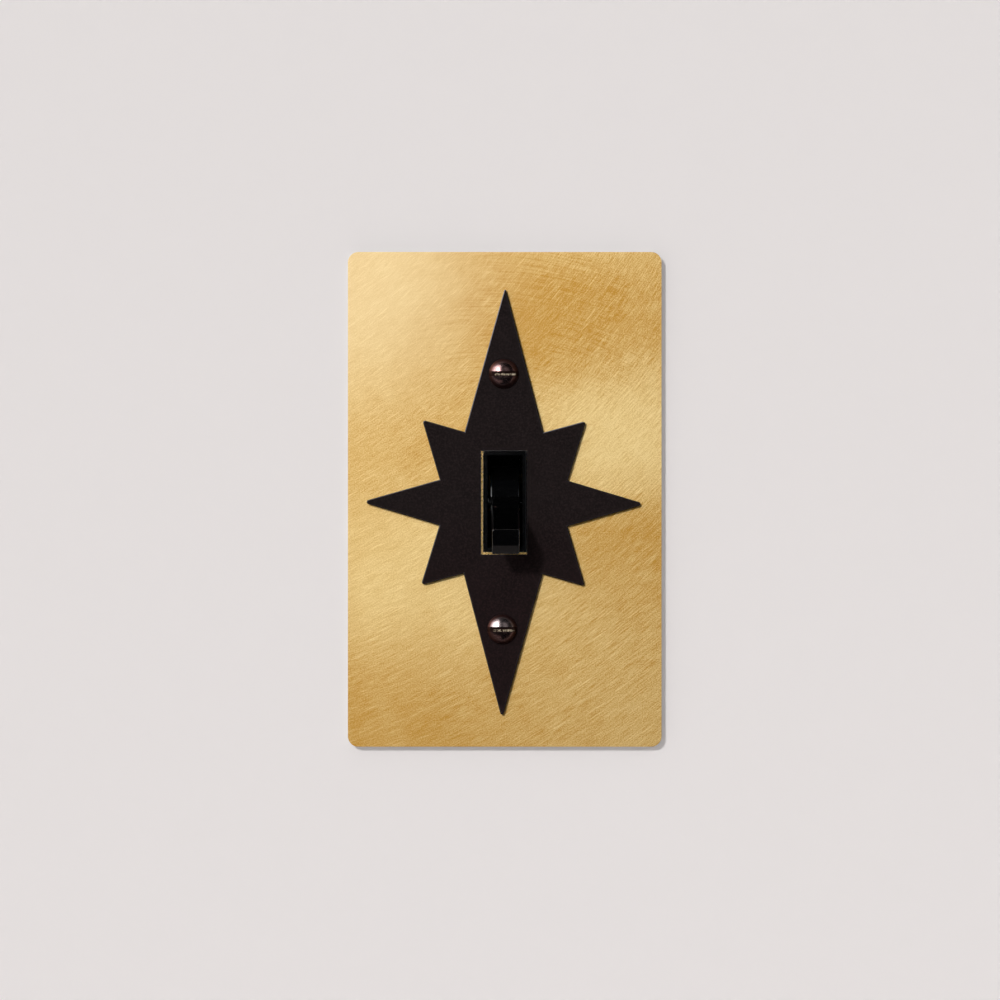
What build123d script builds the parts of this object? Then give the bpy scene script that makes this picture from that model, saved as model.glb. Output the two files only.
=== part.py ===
"""Toggle wall switch for a one-gang box: brass plate, star overlay and a single-pole toggle device.

Millimetres. +Z is up, and the switch faces -Y. The origin is on the wall plane (y = 0), behind the
centre of the toggle's collar. Everything at y > 0 sits inside the wall box. The toggle is drawn at
its lower stop, which is the open-circuit position.
"""

from build123d import *

import os
from math import cos, radians, sin, tan

# ---- driving dimensions -------------------------------------------------------------------------

PLATE_WIDTH = 74.2
PLATE_HEIGHT = 117.0
PLATE_THICKNESS = 3.0
PLATE_CORNER_RADIUS = 2.5
PLATE_EDGE_RADIUS = 0.35
PLATE_RISE = 0.5  # the plate's outline is centred this far above the toggle

OVERLAY_THICKNESS = 1.2
OVERLAY_SHIFT_X = -0.3  # as fitted, the overlay lies a hair left and low of the collar
OVERLAY_SHIFT_Z = -0.35
OVERLAY_TWIST = -0.44  # degrees, within the play of its screw holes
STAR_POINT_HEIGHT = 51.1  # half-lengths of the upright and level points, before rounding
STAR_POINT_WIDTH = 33.6
STAR_DIAGONAL_X = 19.4
STAR_DIAGONAL_Z = 19.55
STAR_UPPER_NOTCH = (9.32, 16.72)  # between an upright and a diagonal point
STAR_SIDE_NOTCH = (15.12, 5.4)  # between a diagonal and a level point
STAR_TIP_RADIUS = 0.5  # side and diagonal points
STAR_TOP_RADIUS = 0.27  # the upright points are filed sharper
STAR_BOTTOM_RADIUS = 0.41
STAR_EDGE_CHAMFER = 0.18
STAR_WINDOW = (10.8, 24.5)
STAR_WINDOW_SHIFT = (-0.22, -0.28)

PLATE_SCREW_SPACING = 60.33
PLATE_SCREW_CENTRES = (  # the strap's tapped holes lie a hair left of the collar, the lower one more so
    (-0.3, PLATE_SCREW_SPACING / 2),
    (-0.65, -PLATE_SCREW_SPACING / 2),
)
BOX_SCREW_SPACING = 83.34
THREAD_RADIUS = 1.75  # 6-32 thread, major radius
THREAD_CORE_RADIUS = 1.4  # 6-32 thread, unthreaded neck
THREAD_PLAY = 0.04

COLLAR_WIDTH = 10.15
COLLAR_HEIGHT = 23.8
COLLAR_FRONT = -5.0
COLLAR_MOUTH = (8.3, 21.8)

STRAP_THICKNESS = 1.3
STRAP_HEIGHT = 106.4
STRAP_EAR_WIDTH = 33.0
STRAP_WAIST_WIDTH = 24.0

BODY_WIDTH = 25.0
BODY_HEIGHT = 55.0
BODY_SPLIT = 7.0  # depth of the joint line between the two housings
BODY_DEPTH = 26.0
BODY_WALL = 1.8
BODY_FLOOR = 2.0
BODY_CORNER_RADIUS = 1.6

PIVOT_DEPTH = 2.6
TOGGLE_TILT = 24.5  # degrees either side of level
TOGGLE_REACH = 23.3  # pivot to tip
TRUNNION_RADIUS = 1.5
TRUNNION_PLAY = 0.06
DRUM_RADIUS = 8.0
DRUM_HALF_WIDTH = 3.4
SHOULDER_REACH = 6.7
SHAFT_ROOT = (3.34, 3.45)  # half-width and half-height where the shaft leaves the drum
SHAFT_TIP = (3.22, 3.2)
SHAFT_WAIST = 2.95  # smallest half-height, halfway along the shaft
SHAFT_CROWN = 0.45  # how far the tip's middle stands out of its edges
SHAFT_EDGE_RADIUS = 0.38

ROCKER_PIVOT_DEPTH = 15.0
ROCKER_TILT = 8.0  # degrees either side of level
ROCKER_FACE = 2.6  # the rocker's front face, ahead of its pin
ROCKER_THICKNESS = 0.9
ROCKER_HALF_HEIGHT = 9.6
ROCKER_HALF_WIDTH = 2.5
ROCKER_PIN_RADIUS = 0.8
PIN_PLAY = 0.05
CONTACT_REACH = 7.8  # contact button below the rocker pin
CONTACT_RADIUS = 1.7
CONTACT_SHANK = 0.8  # radius of each contact's riveted shank
CONTACT_TAIL = 1.2  # radius of the shank's headed tail

SHEET = 1.0  # thickness of the brass terminals
TERMINAL_FACE = 11.9  # outer face of each side terminal, from the centre plane
TERMINAL_SCREW_Z = 12.5
TERMINAL_SCREW_DEPTH = 13.0
TERMINAL_SCREW_RADIUS = 2.0
TERMINAL_HEAD_RADIUS = 4.0
WIRE_HOLE_RADIUS = 1.15
WIRE_HOLE_X = 9.5
WIRE_HOLE_Z = 16.6
WIRE_HOLE_BOSS = 20.0  # depth where the tube round a wire hole starts

RIVET_Z = 20.5
RIVET_RADIUS = 1.25
RIVET_HEAD_RADIUS = 2.4
RIVET_HEAD = 0.6
RIVET_BORE = 0.75  # the hollow end that is rolled over
RIVET_BORE_DEPTH = 6.0
RIVET_POST_RADIUS = RIVET_HEAD_RADIUS + 1.2
RIVET_PLAY = 0.05

CLEAR = 0.1  # gap left between parts that only locate each other

UP_DOWN = (1, -1)
LEFT_RIGHT = (-1, 1)


# ---- small helpers ------------------------------------------------------------------------------


def block(x, y, z):
    """A box given by its (low, high) limits along each axis."""
    size = [high - low for low, high in (x, y, z)]
    middle = [(high + low) / 2 for low, high in (x, y, z)]
    return Pos(*middle) * Box(*size)


def slab(outline, back, front):
    """An outline drawn in X and Z, made solid from depth back forward to depth front."""
    return extrude(Plane.XZ.offset(-back) * outline, amount=back - front)


def side_slab(outline, half_width):
    """An outline drawn in Y and Z, made solid either side of the centre plane."""
    return extrude(Plane.YZ * outline, amount=half_width, both=True)


def rod(radius, centre_x, centre_z, back, front):
    """A round bar along Y."""
    return slab(Pos(centre_x, centre_z) * Circle(radius), back, front)


def cross_rod(radius, depth, height, low_x, high_x):
    """A round bar along X."""
    return extrude(Plane.YZ.offset(low_x) * Pos(depth, height) * Circle(radius), amount=high_x - low_x)


def front_edges(shape):
    """The edges that lie wholly on a shape's front face."""
    return shape.faces().sort_by(Axis.Y)[0].edges()


def cone(radius_back, radius_front, centre_x, centre_z, back, front):
    """A round bar along Y whose radius changes evenly from its back to its front."""
    plane = Plane.XZ.offset(-back)
    shape = plane * Pos(centre_x, centre_z) * Circle(radius_back)
    far = plane.offset(back - front) * Pos(centre_x, centre_z) * Circle(radius_front)
    return loft([shape.face(), far.face()])


PIVOT = Axis((0, PIVOT_DEPTH, 0), (1, 0, 0))
ROCKER_PIVOT = Axis((0, ROCKER_PIVOT_DEPTH, 0), (1, 0, 0))
STRAP_FRONT = -STRAP_THICKNESS
OVERLAY_BACK = -PLATE_THICKNESS
OVERLAY_FRONT = OVERLAY_BACK - OVERLAY_THICKNESS


# ---- front of the wall: plate, overlay and their screws -------------------------------------------

STRAP_POCKET = (STRAP_EAR_WIDTH + 1.4, STRAP_HEIGHT + 1.2)
STRAP_POCKET_FLOOR = STRAP_FRONT - CLEAR
HEAD_RELIEF_FLOOR = -2.15  # deeper reliefs over the box screws and rivets
HEAD_RELIEF_RADIUS = 5.0


def wall_plate():
    outline = Pos(0, PLATE_RISE) * RectangleRounded(PLATE_WIDTH, PLATE_HEIGHT, PLATE_CORNER_RADIUS)
    plate = slab(outline, 0, -PLATE_THICKNESS)
    plate = fillet(front_edges(plate), PLATE_EDGE_RADIUS)
    plate -= slab(RectangleRounded(*STRAP_POCKET, 2.5), 0, STRAP_POCKET_FLOOR)
    plate -= slab(Rectangle(COLLAR_WIDTH + 2 * CLEAR, COLLAR_HEIGHT + 2 * CLEAR), 0, -PLATE_THICKNESS)
    for screw_x, screw_z in PLATE_SCREW_CENTRES:
        plate -= rod(THREAD_RADIUS + 0.25, screw_x, screw_z, 0, -PLATE_THICKNESS)
    for side in UP_DOWN:
        plate -= rod(HEAD_RELIEF_RADIUS, 0, side * BOX_SCREW_SPACING / 2, 0, HEAD_RELIEF_FLOOR)
        plate -= rod(RIVET_HEAD_RADIUS + 0.5, 0, side * RIVET_Z, 0, HEAD_RELIEF_FLOOR)
    return plate


def star_overlay():
    quarter = [
        (0, STAR_POINT_HEIGHT),
        STAR_UPPER_NOTCH,
        (STAR_DIAGONAL_X, STAR_DIAGONAL_Z),
        STAR_SIDE_NOTCH,
        (STAR_POINT_WIDTH, 0),
    ]
    right = quarter + [(x, -z) for x, z in reversed(quarter[:-1])]
    outline = right + [(-x, z) for x, z in reversed(right[1:-1])]
    star = make_face(Polyline(outline, close=True))
    notch_reach = max(STAR_UPPER_NOTCH[1], STAR_SIDE_NOTCH[0]) + 3
    tips = [v for v in star.vertices() if Vector(v.X, v.Y).length > notch_reach]
    tips = ShapeList(tips).sort_by(Axis.Y)
    star = fillet(tips[1:-1], STAR_TIP_RADIUS)
    for height, radius in ((STAR_POINT_HEIGHT, STAR_TOP_RADIUS), (-STAR_POINT_HEIGHT, STAR_BOTTOM_RADIUS)):
        star = fillet(star.vertices().sort_by_distance((0, height, 0))[0], radius)
    overlay = slab(star, OVERLAY_BACK, OVERLAY_FRONT)
    overlay = chamfer(front_edges(overlay), STAR_EDGE_CHAMFER)
    overlay = Pos(OVERLAY_SHIFT_X, 0, OVERLAY_SHIFT_Z) * Rot(0, -OVERLAY_TWIST, 0) * overlay
    overlay -= slab(Pos(*STAR_WINDOW_SHIFT) * Rectangle(*STAR_WINDOW), OVERLAY_BACK, OVERLAY_FRONT)
    for screw_x, screw_z in PLATE_SCREW_CENTRES:
        overlay -= rod(THREAD_RADIUS + 0.35, screw_x, screw_z, OVERLAY_BACK, OVERLAY_FRONT)
    return overlay


def plate_screws():
    """Two slotted round-head screws that hold the overlay and the plate to the strap."""
    head_radius, head_height, rim = 3.52, 2.5, 0.35
    slot_width, slot_depth = 1.15, 1.25
    length = 13.0
    crown = (head_radius**2 + (head_height - rim) ** 2) / (2 * (head_height - rim))
    head = rod(head_radius, 0, 0, OVERLAY_FRONT, OVERLAY_FRONT - head_height)
    head &= Pos(0, OVERLAY_FRONT - head_height + crown, 0) * Sphere(crown)
    top = OVERLAY_FRONT - head_height
    head -= block((-5, 5), (top - 1, top + slot_depth), (-slot_width / 2, slot_width / 2))
    shank = rod(THREAD_RADIUS - THREAD_PLAY, 0, 0, OVERLAY_FRONT + length, OVERLAY_FRONT)
    shank = chamfer(shank.faces().sort_by(Axis.Y)[-1].edges(), 0.5)
    screw = head + shank
    return [Pos(screw_x, 0, screw_z) * screw for screw_x, screw_z in PLATE_SCREW_CENTRES]


# ---- the strap and the fasteners that belong to it ------------------------------------------------

SLOT_WIDTH = 3.9
SLOT_LENGTH = 7.6
BOX_HEAD_RADIUS = 3.5
BOX_HEAD_TOP = -1.9
COUNTERSINK = 41.0  # half-angle in degrees
EAR_HEIGHT = 17.5
EAR_SCORE_X = 10.6  # the line a plaster ear snaps off along


def ears_and_waist():
    """The strap's outline: a waist in front of the body, with wide plaster ears at both ends."""
    neck_width, waist_height = 19.0, 58.0
    outline = Rectangle(STRAP_WAIST_WIDTH, waist_height) + Rectangle(neck_width, STRAP_HEIGHT - 10)
    for side in UP_DOWN:
        centre = side * (STRAP_HEIGHT - EAR_HEIGHT) / 2
        outline += Pos(0, centre) * RectangleRounded(STRAP_EAR_WIDTH, EAR_HEIGHT, 2.0)
    return outline


def mounting_strap():
    strap = slab(ears_and_waist(), 0, STRAP_FRONT)
    strap -= slab(Rectangle(COLLAR_WIDTH + CLEAR, COLLAR_HEIGHT + CLEAR), 0, STRAP_FRONT)
    slot = SlotOverall(SLOT_LENGTH, SLOT_WIDTH)
    flare = STRAP_THICKNESS * tan(radians(COUNTERSINK))
    for screw_x, screw_z in PLATE_SCREW_CENTRES:
        strap -= rod(THREAD_RADIUS, screw_x, screw_z, 0, STRAP_FRONT)
    for side in UP_DOWN:
        slot_z = side * BOX_SCREW_SPACING / 2
        back = Plane.XZ * Pos(0, slot_z) * slot
        front_slot = SlotOverall(SLOT_LENGTH + 2 * flare, SLOT_WIDTH + 2 * flare)
        front = Plane.XZ.offset(STRAP_THICKNESS) * Pos(0, slot_z) * front_slot
        strap -= loft([back.face(), front.face()])
        strap -= rod(RIVET_RADIUS + RIVET_PLAY, 0, side * RIVET_Z, 0, STRAP_FRONT)
        for edge in LEFT_RIGHT:
            strap -= ear_cuts(edge, side)
    return strap + ground_tab()


def ear_cuts(edge, side):
    """What lets a plaster ear snap off: a scored line with an open notch at its outer end, and its hole."""
    score_half_width, notch_half_width = 0.3, 0.6
    score_depth, notch_length = 0.5, 2.6
    washer_x, washer_radius = 13.4, 1.6
    outer = STRAP_HEIGHT / 2
    score = block(
        sorted((edge * (EAR_SCORE_X - score_half_width), edge * (EAR_SCORE_X + score_half_width))),
        (STRAP_FRONT, STRAP_FRONT + score_depth),
        sorted((side * (outer - EAR_HEIGHT), side * outer)),
    )
    notch = block(
        sorted((edge * (EAR_SCORE_X - notch_half_width), edge * (EAR_SCORE_X + notch_half_width))),
        (STRAP_FRONT, 0),
        sorted((side * (outer - notch_length), side * outer)),
    )
    return score + notch + rod(washer_radius, edge * washer_x, side * BOX_SCREW_SPACING / 2, 0, STRAP_FRONT)


GROUND_TAB_X = -14.2  # outer face of the grounding tab
GROUND_SCREW_DEPTH = 6.2
GROUND_SCREW_Z = -20.0


def ground_tab():
    """A lug bent back from the strap's lower left edge, for the grounding screw."""
    half_height, lug_depth, lug_corner = 5.0, 11.0, 2.5
    low, high = GROUND_SCREW_Z - half_height, GROUND_SCREW_Z + half_height
    arm = block((GROUND_TAB_X, -STRAP_WAIST_WIDTH / 2 + 1), (STRAP_FRONT, 0), (low, high))
    lug = block((GROUND_TAB_X, GROUND_TAB_X + STRAP_THICKNESS), (STRAP_FRONT, lug_depth), (low, high))
    lug = fillet(lug.faces().sort_by(Axis.Y)[-1].edges().filter_by(Axis.X), lug_corner)
    hole = cross_rod(TERMINAL_SCREW_RADIUS, GROUND_SCREW_DEPTH, GROUND_SCREW_Z, GROUND_TAB_X - 1, -12)
    return arm + lug - hole


def box_screws():
    """Two flat-head screws that fasten the strap to the wall box."""
    length, neck_end = 19.0, 1.25
    arm_length, arm_half_width, recess_depth = 2.6, 0.5, 1.3
    cone_depth = (BOX_HEAD_RADIUS - THREAD_CORE_RADIUS) / tan(radians(COUNTERSINK))
    tip = BOX_HEAD_TOP + length
    screw = cone(THREAD_CORE_RADIUS, BOX_HEAD_RADIUS, 0, 0, BOX_HEAD_TOP + cone_depth, BOX_HEAD_TOP)
    screw += rod(THREAD_CORE_RADIUS, 0, 0, neck_end + 1, BOX_HEAD_TOP + cone_depth - 0.2)
    thread = rod(THREAD_RADIUS, 0, 0, tip, neck_end)
    screw += chamfer(thread.faces().sort_by(Axis.Y)[-1].edges(), 0.5)
    recess = (BOX_HEAD_TOP - 1, BOX_HEAD_TOP + recess_depth)
    for across, upright in ((arm_length, arm_half_width), (arm_half_width, arm_length)):
        screw -= block((-across, across), recess, (-upright, upright))
    return [Pos(0, 0, side * BOX_SCREW_SPACING / 2) * screw for side in UP_DOWN]


def screw_retainers():
    """Fibre squares behind the strap that keep the box screws from dropping out."""
    size, back, front = 9.0, 1.15, 0.55
    washer = slab(RectangleRounded(size, size, 1.0), back, front)
    washer -= rod(THREAD_CORE_RADIUS + 0.08, 0, 0, back, front)
    return [Pos(0, 0, side * BOX_SCREW_SPACING / 2) * washer for side in UP_DOWN]


def assembly_rivets():
    """Two tubular rivets that clamp the strap and both housings together."""
    rivet = rod(RIVET_RADIUS, 0, 0, BODY_DEPTH, STRAP_FRONT)
    rivet += rod(RIVET_HEAD_RADIUS, 0, 0, STRAP_FRONT, STRAP_FRONT - RIVET_HEAD)
    rolled = rod(RIVET_HEAD_RADIUS, 0, 0, BODY_DEPTH + RIVET_HEAD, BODY_DEPTH)
    rivet += fillet(rolled.faces().sort_by(Axis.Y)[-1].edges(), 0.5)
    rivet -= rod(RIVET_BORE, 0, 0, BODY_DEPTH + 1, BODY_DEPTH - RIVET_BORE_DEPTH)
    return [Pos(0, 0, side * RIVET_Z) * rivet for side in UP_DOWN]


# ---- the housings ---------------------------------------------------------------------------------

CHAMBER_INNER = 6.9  # partitions that wall in the mechanism
CHAMBER_OUTER = 8.1
CHAMBER_HALF_HEIGHT = 12.8
SADDLE = (3.7, 6.7)  # trunnion saddles, from the centre plane
TRUNNION_END = 6.2
FLOOR = BODY_DEPTH - BODY_FLOOR


def body_outline(inset=0.0):
    radius = max(BODY_CORNER_RADIUS - inset, 0.4)
    return RectangleRounded(BODY_WIDTH - 2 * inset, BODY_HEIGHT - 2 * inset, radius)


def collar_mouth():
    """The collar's opening. Its end walls slope in so that the drum always closes it."""
    throat_depth = BODY_WALL
    throat_height = 2 * (DRUM_RADIUS + 0.55)
    near = Plane.XZ.offset(-COLLAR_FRONT) * Rectangle(*COLLAR_MOUTH)
    far = Plane.XZ.offset(-throat_depth) * Rectangle(2 * SADDLE[0], throat_height)
    return loft([near.face(), far.face()])


def front_housing():
    """The cover: a shallow shell with the collar standing forward through the strap."""
    lug_half_height, lug_back = 4.2, PIVOT_DEPTH + 2.6
    housing = slab(body_outline(), BODY_SPLIT, 0)
    housing = fillet(front_edges(housing), 0.5)
    housing -= slab(body_outline(BODY_WALL), BODY_SPLIT, BODY_WALL)
    collar = slab(RectangleRounded(COLLAR_WIDTH, COLLAR_HEIGHT, 0.45), BODY_WALL, COLLAR_FRONT)
    housing += fillet(front_edges(collar), 0.22)
    for side in LEFT_RIGHT:
        x = sorted((side * SADDLE[0], side * SADDLE[1]))
        housing += block(x, (BODY_WALL, lug_back), (-lug_half_height, lug_half_height))
    housing -= collar_mouth()
    bearing = TRUNNION_RADIUS + TRUNNION_PLAY
    reach = TRUNNION_END + CLEAR
    housing -= cross_rod(bearing, PIVOT_DEPTH, 0, -reach, reach)
    housing -= block((-SADDLE[1] - 0.3, SADDLE[1] + 0.3), (PIVOT_DEPTH, BODY_SPLIT), (-bearing, bearing))
    drum_room = cross_rod(DRUM_RADIUS + 0.3, PIVOT_DEPTH, 0, -SADDLE[0], SADDLE[0])
    housing -= drum_room & block((-SADDLE[0], SADDLE[0]), (BODY_WALL - 1.5, BODY_SPLIT), (-10, 10))
    for side in UP_DOWN:
        housing += rod(RIVET_POST_RADIUS, 0, side * RIVET_Z, BODY_SPLIT, BODY_WALL)
        housing -= rod(RIVET_RADIUS + RIVET_PLAY, 0, side * RIVET_Z, BODY_SPLIT, -1)
    return housing


def terminal_window(side):
    """The opening in the right wall that shows one side terminal."""
    depth, near, far = (8.6, 18.2), 6.8, 19.0
    x = (BODY_WIDTH / 2 - BODY_WALL - 0.2, BODY_WIDTH / 2 + 2)
    return block(x, depth, sorted((side * near, side * far)))


def wire_guards():
    """Raised walls on the right side that keep the two screws' wires apart."""
    inner, outer = BODY_WIDTH / 2 - 0.5, 14.6
    depth = (BODY_SPLIT + 0.4, 20.0)
    sill_depth = (19.0, 20.6)
    guards = block((inner, outer), depth, (-1.0, 1.0))
    for side in UP_DOWN:
        guards += block((inner, outer - 0.8), depth, sorted((side * 20.4, side * 22.4)))
        guards += block((inner, outer - 1.4), sill_depth, sorted((side * 6.2, side * 19.6)))
    return guards


def rear_housing():
    """The base: a deep shell with the chamber, the terminal pockets and the wire holes."""
    housing = slab(body_outline(), BODY_DEPTH, BODY_SPLIT)
    housing = fillet(housing.faces().sort_by(Axis.Y)[-1].edges(), 1.0)
    housing -= slab(body_outline(BODY_WALL), FLOOR, BODY_SPLIT)
    housing += wire_guards() + inner_supports()
    for side in LEFT_RIGHT:
        housing += chamber_side(side)
    for side in UP_DOWN:
        housing += chamber_end(side)
        housing += rod(RIVET_POST_RADIUS, 0, side * RIVET_Z, FLOOR, BODY_SPLIT)
        housing -= rod(RIVET_RADIUS + RIVET_PLAY, 0, side * RIVET_Z, BODY_DEPTH, BODY_SPLIT)
        housing += rod(WIRE_HOLE_RADIUS + 0.9, WIRE_HOLE_X, side * WIRE_HOLE_Z, FLOOR + 1, WIRE_HOLE_BOSS)
        housing -= rod(WIRE_HOLE_RADIUS, WIRE_HOLE_X, side * WIRE_HOLE_Z, BODY_DEPTH + 1, WIRE_HOLE_BOSS - 1)
        housing -= terminal_window(side)
        housing -= release_slot(side)
    housing -= leg_slots()
    housing -= strip_gauge()
    return housing


def chamber_side(side):
    """One side partition of the chamber, with the post that keeps a trunnion in its saddle."""
    depth = (PIVOT_DEPTH + 2.8, FLOOR)
    wall = block(
        sorted((side * CHAMBER_INNER, side * CHAMBER_OUTER)),
        depth,
        (-CHAMBER_HALF_HEIGHT, CHAMBER_HALF_HEIGHT),
    )
    retainer = block(
        sorted((side * (SADDLE[0] + 0.25), side * (CHAMBER_INNER + 0.5))),
        (PIVOT_DEPTH, 9.5),
        (-TRUNNION_RADIUS, TRUNNION_RADIUS),
    )
    bearing = TRUNNION_RADIUS + TRUNNION_PLAY
    return wall + (retainer - cross_rod(bearing, PIVOT_DEPTH, 0, -9, 9))


def chamber_end(side):
    """One end partition of the chamber, with the shelf that backs a rubber bumper."""
    width = (-CHAMBER_OUTER, CHAMBER_OUTER)
    shelf_z = sorted((side * BUMPER_OUTER, side * (BUMPER_OUTER + 1.3)))
    wall_z = sorted((side * (CHAMBER_HALF_HEIGHT - 1.2), side * CHAMBER_HALF_HEIGHT))
    return block(width, (BODY_SPLIT, BUMPER_DEPTH[1]), shelf_z) + block(width, (BODY_SPLIT, FLOOR), wall_z)


def release_slot(side):
    """The slit beside a wire hole where a screwdriver frees the wire."""
    x = (WIRE_HOLE_X - 2.0, WIRE_HOLE_X - 0.8)
    z = sorted((side * (WIRE_HOLE_Z + 2.6), side * (WIRE_HOLE_Z + 5.0)))
    return block(x, (FLOOR - 1, BODY_DEPTH), z)


LEAF_RIB_X = 8.1


def inner_supports():
    """Ribs behind the wire springs, and the pillars that the two terminals stand on."""
    line_back, load_back = LINE_LEG_DEPTH[1] + 0.05, LOAD_LEG_DEPTH[1] + CONTACT_TAIL_HEIGHT + 0.05
    supports = block((-3.2, 3.2), (line_back, FLOOR), (-1.8, 5.8))
    supports += block((-2.4, 2.4), (load_back, FLOOR), (LOAD_LEG_Z[0] + 0.1, LOAD_LEG_Z[1] - 0.1))
    for side in UP_DOWN:
        z = sorted((side * (CHAMBER_HALF_HEIGHT - 1), side * (WIRE_HOLE_Z + 2.2)))
        supports += block((CHAMBER_INNER, LEAF_RIB_X), (9.4, FLOOR), z)
    return supports


def leg_slots():
    """Cuts in the right partition that let the terminals drop in from the front."""
    x = (CHAMBER_INNER - 0.5, CHAMBER_OUTER + 0.5)
    cuts = []
    for depth, (low, high) in ((LINE_LEG_DEPTH, LINE_LEG_Z), (LOAD_LEG_DEPTH, LOAD_LEG_Z)):
        cuts.append(block(x, (PIVOT_DEPTH, depth[1] + CLEAR), (low - CLEAR, high + CLEAR)))
    return cuts


def strip_gauge():
    """A plain groove in the floor that shows how much wire to bare."""
    middle, half_width, half_bar, half_length = -7.0, 0.6, 2.0, 8.0
    depth = (BODY_DEPTH - 0.5, BODY_DEPTH + 1)
    groove = block((middle - half_width, middle + half_width), depth, (-half_length, half_length))
    for end in (-half_length, half_length):
        groove += block((middle - half_bar, middle + half_bar), depth, (end - 0.5, end + 0.5))
    return groove


# ---- the toggle and its spring --------------------------------------------------------------------

BORE_RADIUS = 1.86
BORE_FLOOR = 4.0  # this and the next two are distances behind the pivot, along the toggle
TAIL_END = 9.2
PLUNGER_OPEN_END = 6.6
PLUNGER_CAP = 1.0  # solid end ahead of the plunger's bore
TAIL_HALF_WIDTH = 3.0
TAIL_HALF_HEIGHT = 3.0
PLUNGER_RADIUS = 1.8
PLUNGER_NOSE_RADIUS = 2.4
PLUNGER_BORE = 1.35


def plunger_reach():
    """Pivot to the plunger's nose when the nose rests on the rocker with the toggle at a stop."""
    face = (ROCKER_PIVOT_DEPTH - PIVOT_DEPTH) * cos(radians(ROCKER_TILT)) - ROCKER_FACE
    nose_centre = (face - PLUNGER_NOSE_RADIUS) / cos(radians(TOGGLE_TILT + ROCKER_TILT))
    return nose_centre + PLUNGER_NOSE_RADIUS - 0.02


def tilted(shape):
    """Turns a shape drawn with the toggle level to the toggle's lower stop."""
    return shape.rotate(PIVOT, TOGGLE_TILT)


def toggle_shaft():
    """The handle: a slim bar, slightly waisted, whose sides taper towards a crowned tip."""
    root, tip = PIVOT_DEPTH - SHOULDER_REACH + 2.0, PIVOT_DEPTH - TOGGLE_REACH
    middle, edge = PIVOT_DEPTH - (SHOULDER_REACH + TOGGLE_REACH) / 2, tip + SHAFT_CROWN
    root_x, tip_x = SHAFT_ROOT[0], SHAFT_TIP[0]
    root_z, tip_z = SHAFT_ROOT[1], SHAFT_TIP[1]
    side_view = make_face(
        [
            ThreePointArc((root, root_z), (middle, SHAFT_WAIST), (edge, tip_z)),
            ThreePointArc((edge, tip_z), (tip, 0), (edge, -tip_z)),
            ThreePointArc((edge, -tip_z), (middle, -SHAFT_WAIST), (root, -root_z)),
            Line((root, -root_z), (root, root_z)),
        ]
    )
    shaft = side_slab(side_view, root_x)
    plan = Polyline((-root_x, root), (-tip_x, tip), (tip_x, tip), (root_x, root), close=True)
    shaft &= extrude(Plane.XY * make_face(plan), amount=2 * root_z, both=True)
    return fillet(shaft.edges() - shaft.faces().sort_by(Axis.Y)[-1].edges(), SHAFT_EDGE_RADIUS)


def toggle_drum():
    """The round shoulder that closes the collar, hollow behind, and flat where the handle leaves it."""
    wide, wall, back = DRUM_RADIUS + 1, 1.4, PIVOT_DEPTH + 3.4
    drum = cross_rod(DRUM_RADIUS, PIVOT_DEPTH, 0, -DRUM_HALF_WIDTH, DRUM_HALF_WIDTH)
    drum &= block((-wide, wide), (PIVOT_DEPTH - SHOULDER_REACH, back), (-wide, wide))
    drum = fillet(drum.edges().filter_by(lambda e: e.center().Y < back - 0.1), 0.28)
    inner_half_width = DRUM_HALF_WIDTH - 1.2
    hollow = cross_rod(DRUM_RADIUS - wall, PIVOT_DEPTH, 0, -inner_half_width, inner_half_width)
    hollow &= block((-wide, wide), (PIVOT_DEPTH - 2.0, PIVOT_DEPTH + wide), (-wide, wide))
    return drum - (hollow - block((-wide, wide), (-wide, 20), (-TAIL_HALF_HEIGHT, TAIL_HALF_HEIGHT)))


def toggle_lever():
    """One moulding: handle, drum, trunnions and the tail that holds the spring."""
    lever = toggle_drum() + toggle_shaft()
    lever += cross_rod(TRUNNION_RADIUS, PIVOT_DEPTH, 0, -TRUNNION_END, TRUNNION_END)
    tail = block(
        (-TAIL_HALF_WIDTH, TAIL_HALF_WIDTH),
        (PIVOT_DEPTH, PIVOT_DEPTH + TAIL_END),
        (-TAIL_HALF_HEIGHT, TAIL_HALF_HEIGHT),
    )
    lever += fillet(tail.faces().sort_by(Axis.Y)[-1].edges(), 0.5)
    lever -= rod(BORE_RADIUS, 0, 0, PIVOT_DEPTH + TAIL_END, PIVOT_DEPTH + BORE_FLOOR)
    return tilted(lever)


def spring_plunger():
    """A nylon thimble over the spring. Its round nose rides on the rocker's face."""
    nose = PIVOT_DEPTH + plunger_reach()
    plunger = rod(PLUNGER_RADIUS, 0, 0, nose, PIVOT_DEPTH + PLUNGER_OPEN_END)
    ball = Pos(0, nose - PLUNGER_NOSE_RADIUS, 0) * Sphere(PLUNGER_NOSE_RADIUS)
    plunger &= ball + block((-3, 3), (0, nose - 2.0), (-3, 3))
    plunger -= rod(PLUNGER_BORE, 0, 0, nose - PLUNGER_CAP, PIVOT_DEPTH)
    return tilted(plunger)


def toggle_spring():
    """Compression spring between the toggle's bore and the inside of the plunger."""
    wire, turns = 0.16, 9
    gap = 0.02
    coil = PLUNGER_BORE - wire - 3 * gap
    low = PIVOT_DEPTH + BORE_FLOOR + wire + gap
    high = PIVOT_DEPTH + plunger_reach() - PLUNGER_CAP - wire - gap
    height = high - low
    path = Helix(height / turns, height, coil)
    section = Plane(origin=path @ 0, z_dir=path % 0) * Circle(wire)
    spring = sweep(section, path=path, is_frenet=True)
    return tilted(Pos(0, low, 0) * Rot(-90, 0, 0) * spring)


BUMPER_DEPTH = (7.4, 10.0)
BUMPER_OUTER = 8.6


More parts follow.
